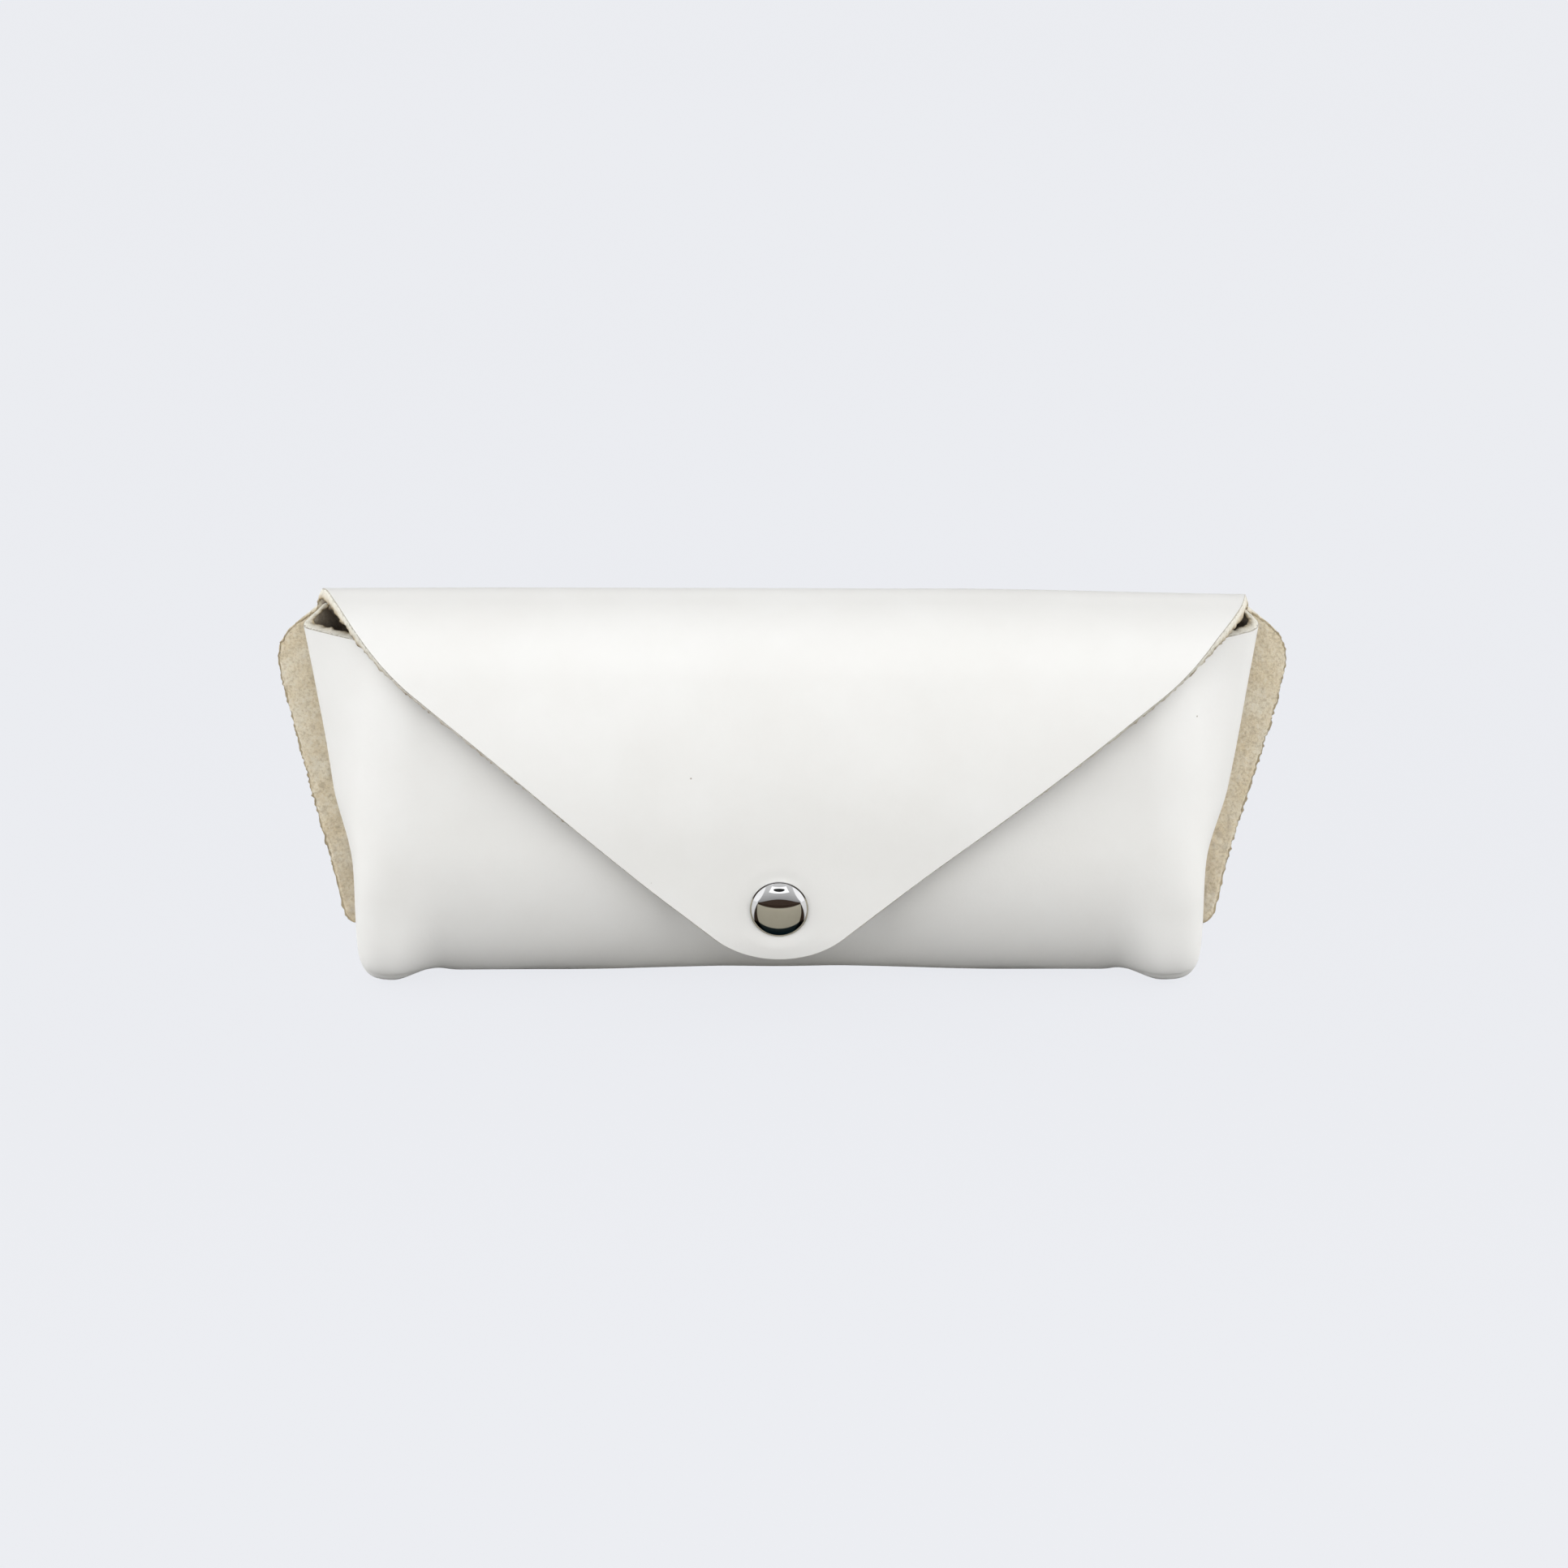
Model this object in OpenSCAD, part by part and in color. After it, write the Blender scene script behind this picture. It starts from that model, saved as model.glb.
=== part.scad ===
// Soft leather pouch for a pair of glasses.
// One sheet of leather makes the back, the bottom roll, the front, the side ears and the flap.
// +Z is up, the front faces -Y, and the origin is under the middle of the case, on the ground.
// The fold of the flap is cut into narrow strips, so that it can unroll like the living hinge it is.

/* [Leather] */
// Thickness of the leather sheet
leather_t = 2; // [1.8:0.1:2.2]

/* [Pouch] */
// Outer radius of the roll along the bottom
roll_r = 13; // [12.8:0.1:13.2]
// Height of the roll's centre above the ground
roll_z = 15.5; // [15.3:0.1:15.7]
// Height of the front panel's top edge
mouth_z = 60.5; // [59.5:0.5:60.5]
// How far the front panel leans back at the mouth
front_lean = 4; // [3.8:0.1:4.2]
// Half of the front panel's width at the mouth
front_half_top = 66.5; // [65:0.5:67]
// Half of the front panel's width at the roll
front_half_bottom = 64.5; // [63:0.5:65]
// Half of the pouch's width at the top of its side folds
crease_half_top = 81.9; // [81:0.3:82.5]
// Half of the pouch's width just above the feet
crease_half_bottom = 72.7; // [72.1:0.3:73.3]

/* [Back wings] */
// Half of the back's width at the widest part of the wings
wing_half = 87.4; // [86.8:0.2:88]
// Corner radius at the top of each wing
wing_r = 8; // [7:0.5:8]
// Height of each wing's corner centre
wing_z = 54.5; // [54:0.5:55]

/* [Flap] */
// Half of the flap's width where it leaves the back
flap_half = 79.7; // [79:0.1:80]
// Length of the flap along the leather, from the back to its tip
flap_length = 85.5; // [84.5:0.5:86]
// Radius of the flap's rounded tip
tip_r = 17.9; // [17:0.1:19]
// Radius of the flap's shoulders
shoulder_r = 46; // [44:1:47]
// Angle between the flap's edge and its centre line
edge_angle = 50.7; // [50.5:0.1:51]

/* [Fold of the flap] */
// Height at which the back starts to roll over
fold_z = 58.5; // [58.3:0.1:58.8]
// Outer radius of the fold at the back
back_arc_r = 10; // [9.9:0.1:10.1]
// Length of the flatter crown between the two arcs
crown_l = 3; // [2.9:0.1:3.2]
// Outer radius of the fold at the front
front_arc_r = 15; // [14.9:0.1:15.2]
// Outer radius of the flap's long curve down to its straight part
drape_r = 83; // [82:1:86]

/* [Snap] */
// Radius of the snap's domed cap
cap_r = 5; // [4.8:0.1:5.2]
// Height of the dome
cap_h = 2; // [1.8:0.1:2.2]
// Height of the snap's centre above the ground
snap_z = 18.7; // [18.3:0.1:19.1]

/* [Ear rivets] */
// Radius of each rivet's head
rivet_r = 3.5; // [3:0.1:3.6]
// Distance of each rivet from the middle
rivet_x = 72.2; // [72:0.1:72.4]
// Height of each rivet
rivet_z = 50; // [46:1:50]

/* [Hidden] */
$fn = 96;
fine = 720;       // facets of the large arcs
eps = 0.01;       // depth to which parts of one piece run into each other
lap = 0.05;       // lap that joins two stretches of one strip, in mm or degrees
far = 200;        // longer than the whole case

white = [0.95, 0.95, 0.93];
chrome = [0.78, 0.78, 0.80];

// Arcs of the flap's outer face, seen from the side as [y, z]. Angle 0 points to the back, 90 points up.
tau_crown = 100;                              // where the crown starts
tau_drape = 160;                              // where the long curve starts
tau_down = 180;                               // straight down

// Depth from the back's outer face to the flap's, and the places that follow from it
rivet_cap_h = 1;
flap_reach = back_arc_r * (1 - cos(tau_crown)) + crown_l * sin(tau_crown)
    + front_arc_r * (cos(tau_crown) - cos(tau_drape)) + drape_r * (1 + cos(tau_drape));
back_y = (flap_reach + cap_h - rivet_cap_h) / 2;   // outer face of the back
roll_y = back_y - roll_r;                     // centre of the roll
front_y = roll_y - roll_r;                    // outer face of the front, at the roll
sheet_in = back_y - leather_t;                // inner face of the back

function ray(tau) = [cos(tau), sin(tau)];
function ahead(tau) = [-sin(tau), cos(tau)];
back_arc_c = [back_y - back_arc_r, fold_z];
crown_p = back_arc_c + back_arc_r * ray(tau_crown);
crown_q = crown_p + crown_l * ahead(tau_crown);
front_arc_c = crown_q - front_arc_r * ray(tau_crown);
drape_p = front_arc_c + front_arc_r * ray(tau_drape);
drape_c = drape_p - drape_r * ray(tau_drape);
drape_q = drape_c + drape_r * ray(tau_down);
flap_y = drape_q[0];                          // outer face of the flap at the snap

// Lengths along the leather at the end of each stretch
function arc_l(r, a, b) = r * (b - a) * PI / 180;
s_crown = arc_l(back_arc_r, 0, tau_crown);
s_front_arc = s_crown + crown_l;
s_drape = s_front_arc + arc_l(front_arc_r, tau_crown, tau_drape);
s_straight = s_drape + arc_l(drape_r, tau_drape, tau_down);
tip_z = drape_q[1] - (flap_length - s_straight);

// Point of the flap's outer face at length s along the leather
function flap_point(s) =
    s < s_crown ? back_arc_c + back_arc_r * ray(s / back_arc_r * 180 / PI)
    : s < s_front_arc ? crown_p + (s - s_crown) * ahead(tau_crown)
    : s < s_drape ? front_arc_c + front_arc_r * ray(tau_crown + (s - s_front_arc) / front_arc_r * 180 / PI)
    : s < s_straight ? drape_c + drape_r * ray(tau_drape + (s - s_drape) / drape_r * 180 / PI)
    : drape_q + [0, s_straight - s];

// Half of the flap's width at length s: a shoulder arc, a straight edge, and the round tip
tip_c = flap_length - tip_r;
edge_s = tip_c + tip_r * sin(edge_angle);
edge_w = tip_r * cos(edge_angle);
shoulder_end_w = flap_half - shoulder_r * (1 - cos(edge_angle));
shoulder_end_s = edge_s - (shoulder_end_w - edge_w) / tan(edge_angle);
shoulder_s = shoulder_end_s - shoulder_r * sin(edge_angle);
function flap_width(s) =
    s < shoulder_s ? flap_half
    : s < shoulder_end_s ? flap_half - shoulder_r + sqrt(shoulder_r ^ 2 - (s - shoulder_s) ^ 2)
    : s < edge_s ? edge_w + (edge_s - s) * tan(edge_angle)
    : sqrt(max(0, tip_r ^ 2 - (s - tip_c) ^ 2));

// Angles of the seven fold lines, which are the joint axes
fold_tau = [12.5, 37.5, 62.5, 87.5, 110, 130, 150];
function fold_s(i) = fold_tau[i] < tau_crown
    ? arc_l(back_arc_r, 0, fold_tau[i])
    : s_front_arc + arc_l(front_arc_r, tau_crown, fold_tau[i]);

// Front panel: one arc that leans back towards the mouth. Between the corners it takes in a little of the
// roll, so that its hinge line lies below the snap.
hinge_tau = 8.85;                             // angle of that hinge line below the roll's centre
front_tau = 2 * atan(front_lean / (mouth_z - roll_z));
front_r = (mouth_z - roll_z) / sin(front_tau);

// Corners of the roll
trough_half = 57;                             // the roll is plain up to here
foot_x = 67.5;                                // middle of each foot's sole
foot_half = 2;                                // half of the sole's width
sole_cut = 0.4;                               // how far the ground cuts into the round foot
end_inset = 4;                                // how much a corner's outer end is smaller than the roll

// Side folds
ear_gap = 0.4;                                // room between an ear and the front panel
ear_bottom_z = roll_z + 0.7;                  // the ears start above the roll
ear_tab_w = 13;                               // part of an ear that lies on the back
tab_y = sheet_in - leather_t / 2 - 0.05;      // middle of the tab's thickness
crease_low_z = 8.5;                           // height at which the pouch is crease_half_bottom wide
crease_high_z = 62.2;                         // height at which it is crease_half_top wide
function crease_half(z) = crease_half_bottom
    + (crease_half_top - crease_half_bottom) * (z - crease_low_z) / (crease_high_z - crease_low_z);
function front_half(z) = front_half_bottom
    + (front_half_top - front_half_bottom) * (z - roll_z) / (mouth_z - roll_z);
function front_face_y(z) = front_y + front_r - sqrt(front_r ^ 2 - (z - roll_z) ^ 2);

// Depths of the snap's parts, measured forward from y = 0
front_in_d = -front_y - leather_t;
front_out_d = -front_y;
flap_in_d = -flap_y - leather_t;
flap_out_d = -flap_y;

// Radii that several parts share
cap_bore_r = 1.1;         // hollow of the cap's post
cap_post_r = 1.6;
cap_hole_r = 1.7;         // hole in the flap and in the socket, for the cap's post
stud_neck_r = 2.6;
post_r = 1.9;
front_hole_r = 2;         // hole in the front and in the stud, for the hollow post
rivet_pin_r = 1.35;
rivet_hole_r = 1.5;

// ---- helpers ----

// Extrudes a [y, z] outline along X, centred
module along_x(length) {
    rotate([90, 0, 90]) linear_extrude(length, center = true) children();
}

// Extrudes an [x, z] outline along Y, centred
module along_y(length) {
    rotate([90, 0, 0]) linear_extrude(length, center = true) children();
}

// A band of the sheet bent round centre c, from angle a to angle b, in [y, z]
module arc_band(c, r, a, b) {
    steps = max(2, ceil((b - a) / 15));
    reach = 1.2 * r;
    translate(c) intersection() {
        difference() {
            circle(r, $fn = fine);
            circle(r - leather_t, $fn = fine);
        }
        polygon(concat([[0, 0]], [for (i = [0:steps]) reach * ray(a + (b - a) * i / steps)]));
    }
}

// A flat stretch of the sheet whose outer face runs from p for length l at angle tau, in [y, z].
// Its start laps over the arc before it, and so does its end when another stretch follows.
module flat_band(p, l, tau, end_lap = 0) {
    inward = -leather_t * ray(tau);
    start = p - lap * ahead(tau);
    end = p + (l + end_lap) * ahead(tau);
    polygon([start, end, end + inward, start + inward]);
}

// A plan outline of the flap between two lengths along the leather, as [x, y]
module plan_outline(s0, s1) {
    n = 12;
    over = 3;                                 // reach beyond the strip's ends
    side = [for (i = [0:n]) let (s = s0 + (s1 - s0) * i / n) [flap_width(s), flap_point(s)[0]]];
    run = concat([[side[0][0], side[0][1] + over]], side, [[side[n][0], side[n][1] - over]]);
    polygon(concat(run, [for (i = [len(run) - 1:-1:0]) [-run[i][0], run[i][1]]]));
}

// A leather plate between four points, with round edges
module plate(a, b, c, d) {
    hull() for (p = [a, b, c, d]) translate(p) sphere(leather_t / 2, $fn = 24);
}

// Places a part that points forward at the snap
module at_snap() {
    translate([0, 0, snap_z]) rotate([90, 0, 0]) children();
}

// Places a part that points backward at both rivets
module at_rivets() {
    for (side = [-1, 1]) translate([side * rivet_x, 0, rivet_z]) rotate([-90, 0, 0]) children();
}

// A ring turned round the Z axis, from depth d0 to d1 and radius r0 to r1
module ring(r0, r1, d0, d1) {
    translate([0, 0, d0]) difference() {
        cylinder(r = r1, h = d1 - d0);
        translate([0, 0, -1]) cylinder(r = r0, h = d1 - d0 + 2);
    }
}

// ---- leather ----

// Outline of the back as [x, z], with a wing on each side
module back_outline() {
    wing_tilt = atan((wing_half - crease_half_bottom) / (wing_z - 4));
    c = [wing_half - wing_r, wing_z];
    corner_end = 84;                          // the corner's arc stops beside the flap
    corner = [for (i = [0:8]) c + wing_r * ray(-wing_tilt + (corner_end + wing_tilt) * i / 8)];
    foot = [corner[0][0] - (corner[0][1] - roll_z) * tan(wing_tilt), roll_z];
    right = concat([foot], corner, [[flap_half + 0.1, wing_z + wing_r], [flap_half + 0.1, fold_z]]);
    polygon(concat(right, [for (i = [len(right) - 1:-1:0]) [-right[i][0], right[i][1]]]));
}

module back_panel() {
    color(white) difference() {
        union() {
            translate([0, back_y - leather_t / 2, 0]) along_y(leather_t) back_outline();
            along_x(2 * flap_half) {
                flat_band([back_y, fold_z - 1], 1, 0, lap);
                arc_band(back_arc_c, back_arc_r, 0, fold_tau[0]);
            }
        }
        at_rivets() cylinder(r = rivet_hole_r, h = far);
    }
}

// A corner of the roll: it bulges out and down into a foot
module corner(side) {
    foot_z = roll_r - sole_cut;
    module disc(x, z, r, h) {
        translate([side * x, roll_y, z]) rotate([0, side * 90, 0]) cylinder(r = r, h = h, $fn = 48);
    }
    module blob(inset) {
        hull() {
            disc(trough_half - inset * eps, roll_z, roll_r - inset, eps);
            disc(foot_x - foot_half, foot_z, roll_r - inset, 2 * foot_half);
            disc(crease_half_bottom - inset, roll_z - end_inset, roll_r - end_inset - inset, eps);
        }
    }
    intersection() {
        difference() {
            blob(0);
            blob(leather_t);
        }
        translate([-far / 2, -far / 2, 0]) cube([far, far, roll_z]);
    }
}

module bottom_wrap() {
    color(white) {
        along_x(2 * trough_half + eps) arc_band([roll_y, roll_z], roll_r, 180 + hinge_tau, 360);
        corner(-1);
        corner(1);
    }
}

module front_panel() {
    gap = 0.15;                               // room between the front and the fixed corners
    half = [
        [trough_half - gap, 0], [trough_half - gap, roll_z + gap],
        [front_half_bottom, roll_z + gap], [front_half_top, mouth_z]
    ];
    color(white) difference() {
        intersection() {
            along_x(far) {
                arc_band([front_y + front_r, roll_z], front_r, 180 - front_tau, 180);
                arc_band([roll_y, roll_z], roll_r, 180 - lap, 180 + hinge_tau);
            }
            along_y(far) polygon(concat(half, [for (i = [len(half) - 1:-1:0]) [-half[i][0], half[i][1]]]));
        }
        at_snap() cylinder(r = front_hole_r, h = far);
    }
}

// The ear folds back from the front panel to the back, where its tab is riveted
module ear(side) {
    h = leather_t / 2;
    top_z = mouth_z - h;
    low_z = ear_bottom_z + h;
    setback = 0.5;                            // the ear's front edge stands this far behind the front
    fold_lean = 3.5;                          // how far the side fold leans back at the mouth
    fold_reach = 2.4;                         // how far the side fold stands out beyond the tab
    // front edge, side fold and back edge of the ear's middle surface, as [x, y]
    function front_edge(z) = [front_half(z) + ear_gap + h, front_face_y(z) + h + setback];
    function fold_edge(z) =
        [crease_half(z) - h, roll_y - setback + fold_lean * (z - roll_z) / (mouth_z - roll_z)];
    function back_edge(z) = [crease_half(z) - fold_reach, tab_y];
    function at(xy, z) = [side * xy[0], xy[1], z];
    tab_top = fold_z - 0.5;
    tab_low = 38;
    tab_x = crease_half(tab_low) - 3 - ear_tab_w / 2;
    tab_z = (tab_low + tab_top) / 2;
    color(white) difference() {
        union() {
            plate(
                at(front_edge(top_z), top_z), at(fold_edge(top_z), top_z + 1),
                at(front_edge(low_z), low_z), at(fold_edge(low_z), low_z)
            );
            plate(
                at(fold_edge(top_z), top_z + 1), at(back_edge(top_z), tab_top - h),
                at(fold_edge(low_z), low_z), at(back_edge(low_z), low_z)
            );
            translate([side * tab_x, tab_y, tab_z])
                cube([ear_tab_w, leather_t, tab_top - tab_low], center = true);
        }
        at_rivets() cylinder(r = rivet_hole_r, h = far);
    }
}

module left_ear() ear(-1);
module right_ear() ear(1);

// One strip of the fold, between fold lines i and i + 1
module fold_strip(i) {
    a = fold_tau[i];
    b = fold_tau[i + 1];
    color(white) intersection() {
        along_x(far) {
            if (a < tau_crown) arc_band(back_arc_c, back_arc_r, a, min(b, tau_crown));
            if (a < tau_crown && b > tau_crown) flat_band(crown_p, crown_l, tau_crown, lap);
            if (b > tau_crown) arc_band(front_arc_c, front_arc_r, max(a, tau_crown), b);
        }
        linear_extrude(far) plan_outline(fold_s(i), fold_s(i + 1));
    }
}

module flap_panel() {
    first = fold_s(6);
    n = 30;
    over = 4;                                 // reach beyond the flap's upper end
    function along(i) = first + (flap_length - first) * i / n;
    side = [for (i = [0:n]) [flap_width(along(i)), flap_point(along(i))[1]]];
    run = concat([[side[0][0], side[0][1] + over]], side);
    color(white) difference() {
        intersection() {
            along_x(far) {
                arc_band(front_arc_c, front_arc_r, fold_tau[6], tau_drape);
                arc_band(drape_c, drape_r, tau_drape - lap, tau_down);
                flat_band(drape_q, drape_q[1] - tip_z, tau_down);
            }
            along_y(far) polygon(concat(run, [for (i = [n:-1:0]) [-run[i][0], run[i][1]]]));
        }
        at_snap() cylinder(r = cap_hole_r, h = far);
    }
}

// ---- snap ----

flange_r = 4.4;           // base of the stud and of the post
plate_t = 0.3;            // sheet metal of the socket and of the flares
socket_mouth_d = front_out_d + 0.9;
lip_h = 0.25;             // thickness of the socket's lip, below the spring
stud_head_r = 3;

// Domed cap with its hollow post, which is flared inside the socket
module snap_cap() {
    dome_r = (cap_r ^ 2 + cap_h ^ 2) / (2 * cap_h);
    shell = 0.4;
    flare_r = 2.1;
    flare_d = flap_in_d - plate_t - 0.02;
    color(chrome) at_snap() {
        difference() {
            intersection() {
                translate([0, 0, flap_out_d + cap_h - dome_r]) sphere(dome_r, $fn = 128);
                translate([0, 0, flap_out_d]) cylinder(r = cap_r + 1, h = cap_h + 1);
            }
            intersection() {
                translate([0, 0, flap_out_d + cap_h - dome_r]) sphere(dome_r - shell, $fn = 128);
                translate([0, 0, flap_out_d + shell]) cylinder(r = cap_r, h = cap_h);
            }
        }
        ring(cap_bore_r, cap_post_r, flare_d - plate_t + 0.1, flap_out_d + eps);
        ring(cap_bore_r, flare_r, flare_d - plate_t, flare_d);
    }
}

// Cup on the flap's inside, with a groove for the spring
module snap_socket() {
    plate_d = flap_in_d - plate_t;
    plate_r = 4.5;
    wall_r = 4.2;
    groove_r = wall_r - plate_t;              // room for the spring to open
    lip_r = 3.1;                              // mouth of the socket
    color(chrome) at_snap() {
        ring(cap_hole_r, plate_r, plate_d, flap_in_d);
        ring(groove_r, wall_r, socket_mouth_d, plate_d);
        ring(lip_r, groove_r + eps, socket_mouth_d, socket_mouth_d + lip_h);
        ring(lip_r + 0.1, groove_r + eps, plate_d - 2 * plate_t, plate_d);
    }
}

// Split ring that grips the stud's neck
module snap_spring() {
    wire_r = 0.25;
    play = 0.05;                              // room between the ring and the lip
    mean_r = stud_neck_r + 0.13 + wire_r;
    turn = 320;                               // the rest of the circle is the ring's split
    color(chrome) at_snap() translate([0, 0, socket_mouth_d + lip_h + wire_r + play])
        rotate_extrude(angle = turn) translate([mean_r, 0]) circle(wire_r, $fn = 24);
}

// Stud on the front panel: base flange, neck and round head
module snap_stud() {
    hollow_r = 2.3;
    floor_d = front_out_d + 1.1;              // ledge inside the stud, which the post is flared over
    neck_d = front_out_d + 1.6;               // top of the neck
    head_d = front_out_d + 2.6;               // top of the head
    color(chrome) at_snap() rotate_extrude() polygon([
        [front_hole_r, front_out_d], [flange_r, front_out_d], [flange_r, front_out_d + 0.35],
        [flange_r - 1, front_out_d + 0.6], [stud_neck_r, front_out_d + 0.9], [stud_neck_r, neck_d],
        [stud_head_r, neck_d + 0.4], [stud_head_r, head_d - 0.3], [stud_head_r - 0.3, head_d],
        [hollow_r, head_d], [hollow_r, floor_d], [front_hole_r, floor_d]
    ]);
}

// Hollow post from inside the pouch that holds the stud
module snap_post() {
    bore_r = 1.4;
    flare_r = 2.15;
    flare_d = front_out_d + 1.15;
    flange_d = front_in_d - 0.14;             // clear of the front's curve
    flange_t = 2 * plate_t;
    color(chrome) at_snap() {
        ring(bore_r, flange_r, flange_d - flange_t, flange_d);
        ring(bore_r, post_r, flange_d - flange_t, flare_d + plate_t);
        ring(bore_r, flare_r, flare_d, flare_d + plate_t);
    }
}

// ---- rivets ----

// Cap with a bevelled edge, and a hollow that takes the end of the pin
module ear_rivet_caps() {
    edge_h = 0.4;
    bevel = 1.4;
    hollow_h = 0.6;
    color(chrome) at_rivets() difference() {
        union() {
            translate([0, 0, back_y]) cylinder(r = rivet_r, h = edge_h);
            translate([0, 0, back_y + edge_h])
                cylinder(r1 = rivet_r, r2 = rivet_r - bevel, h = rivet_cap_h - edge_h);
        }
        translate([0, 0, back_y - 1]) cylinder(r = rivet_pin_r + 0.05, h = 1 + hollow_h);
    }
}

// Head inside the pouch, and the pin that goes through the tab and the back into the cap
module ear_rivet_posts() {
    inner_face = tab_y - leather_t / 2;
    head_t = 0.8;
    pin_end = back_y + 0.5;
    color(chrome) at_rivets() {
        translate([0, 0, inner_face - head_t]) cylinder(r = rivet_r, h = head_t);
        translate([0, 0, inner_face - head_t / 2])
            cylinder(r = rivet_pin_r, h = pin_end - inner_face + head_t / 2);
    }
}

back_panel();
bottom_wrap();
front_panel();
left_ear();
right_ear();
fold_strip(0);  // fold_strip_1
fold_strip(1);  // fold_strip_2
fold_strip(2);  // fold_strip_3
fold_strip(3);  // fold_strip_4
fold_strip(4);  // fold_strip_5
fold_strip(5);  // fold_strip_6
flap_panel();
snap_cap();
snap_socket();
snap_spring();
snap_stud();
snap_post();
ear_rivet_caps();
ear_rivet_posts();
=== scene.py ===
"""Looks of a soft leather glasses pouch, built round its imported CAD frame.

The leather is one sheet. Its middle surface is drawn as patches that meet edge to edge, is moved a little
to look soft, and is then thickened: the outside gets the grain, the inside the suede, and the rim the raw
cut edge. Shapes are in millimetres until a mesh is made. Left is the side of negative x.
"""
import math
import bpy
import numpy as np
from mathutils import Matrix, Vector


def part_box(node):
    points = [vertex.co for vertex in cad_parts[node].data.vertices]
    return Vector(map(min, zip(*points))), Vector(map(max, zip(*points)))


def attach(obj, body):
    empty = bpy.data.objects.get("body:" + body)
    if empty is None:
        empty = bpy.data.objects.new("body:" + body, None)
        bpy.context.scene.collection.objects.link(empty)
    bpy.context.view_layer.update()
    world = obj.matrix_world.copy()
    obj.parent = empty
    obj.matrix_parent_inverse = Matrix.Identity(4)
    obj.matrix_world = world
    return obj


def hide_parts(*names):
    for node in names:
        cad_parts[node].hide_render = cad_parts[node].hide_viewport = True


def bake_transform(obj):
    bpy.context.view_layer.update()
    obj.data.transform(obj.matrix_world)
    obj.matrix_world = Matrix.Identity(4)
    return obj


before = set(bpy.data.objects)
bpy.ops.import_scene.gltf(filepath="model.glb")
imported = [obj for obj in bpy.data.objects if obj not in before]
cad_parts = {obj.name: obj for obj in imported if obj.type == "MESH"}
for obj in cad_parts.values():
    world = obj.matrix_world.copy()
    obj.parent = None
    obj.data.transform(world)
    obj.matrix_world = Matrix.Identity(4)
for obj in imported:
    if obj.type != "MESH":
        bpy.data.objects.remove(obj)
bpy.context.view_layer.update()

MM = 0.001


# ---- sizes from the frame ----

def box_mm(node):
    """Lowest and highest corner of a CAD node, in millimetres."""
    low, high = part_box(node)
    return np.array(low) / MM, np.array(high) / MM


wrap_low, wrap_high = box_mm("bottom_wrap")
_, front_high = box_mm("front_panel")
_, back_high = box_mm("back_panel")
cap_low, cap_high = box_mm("snap_cap")
flap_low, _ = box_mm("flap_panel")
rivet_low, rivet_high = box_mm("ear_rivet_caps")

SHEET = 2.0                                   # thickness of the leather
HALF = SHEET / 2
ROLL_R = (wrap_high[1] - wrap_low[1]) / 2     # outer radius of the bottom roll
ROLL_Y = (wrap_high[1] + wrap_low[1]) / 2
ROLL_Z = wrap_high[2]
MID_R = ROLL_R - HALF                         # and radius of its middle surface
BACK_Y = ROLL_Y + ROLL_R                      # outer face of the back
FRONT_Y = ROLL_Y - ROLL_R                     # outer face of the front at the roll
MOUTH_Z = front_high[2]
FRONT_LEAN = 4.0                              # how far the front leans forward up to the mouth
WING_HALF = back_high[0] - 0.5                # half of the width across the wings
END_HALF = wrap_high[0]                       # half of the width at the closed corners
SNAP_Z = (cap_low[2] + cap_high[2]) / 2
CAP_R = (cap_high[0] - cap_low[0]) / 2
RIVET_R = (rivet_high[2] - rivet_low[2]) / 2
RIVET_X = rivet_high[0] - RIVET_R
RIVET_Z = (rivet_low[2] + rivet_high[2]) / 2
FLAP_Y = flap_low[1]                          # outer face of the flap at the snap
TIP_Z = flap_low[2]

# The fold of the flap, as in the CAD: a tight arc at the back, a short straight crown, an arc at the
# front, and the long drape. TAU_ values are the angles at which a stretch starts, and S_ values the
# lengths along the sheet up to there.
FOLD_Z = 58.5                                 # height at which the fold starts
BACK_ARC_R = 10.0
CROWN = 3.0
FRONT_ARC_R = 15.0
DRAPE_R = 83.0
TAU_CROWN, TAU_DRAPE, TAU_DOWN = np.radians([100, 160, 180])


def ray(tau):
    """Direction (y, z) out of the sheet where it has turned by tau."""
    return np.stack([np.cos(tau), np.sin(tau)], axis=-1)


def ahead(tau):
    """Direction (y, z) along the sheet there."""
    return np.stack([-np.sin(tau), np.cos(tau)], axis=-1)


S_CROWN = BACK_ARC_R * TAU_CROWN
S_FRONT_ARC = S_CROWN + CROWN
S_DRAPE = S_FRONT_ARC + FRONT_ARC_R * (TAU_DRAPE - TAU_CROWN)
S_STRAIGHT = S_DRAPE + DRAPE_R * (TAU_DOWN - TAU_DRAPE)
BACK_ARC_C = np.array([BACK_Y - BACK_ARC_R, FOLD_Z])
CROWN_START = BACK_ARC_C + BACK_ARC_R * ray(TAU_CROWN)
CROWN_END = CROWN_START + CROWN * ahead(TAU_CROWN)
FRONT_ARC_C = CROWN_END - FRONT_ARC_R * ray(TAU_CROWN)
DRAPE_START = FRONT_ARC_C + FRONT_ARC_R * ray(TAU_DRAPE)
DRAPE_C = DRAPE_START - DRAPE_R * ray(TAU_DRAPE)
DRAPE_END = DRAPE_C + DRAPE_R * ray(TAU_DOWN)
FLAP_LENGTH = S_STRAIGHT + DRAPE_END[1] - TIP_Z


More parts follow.
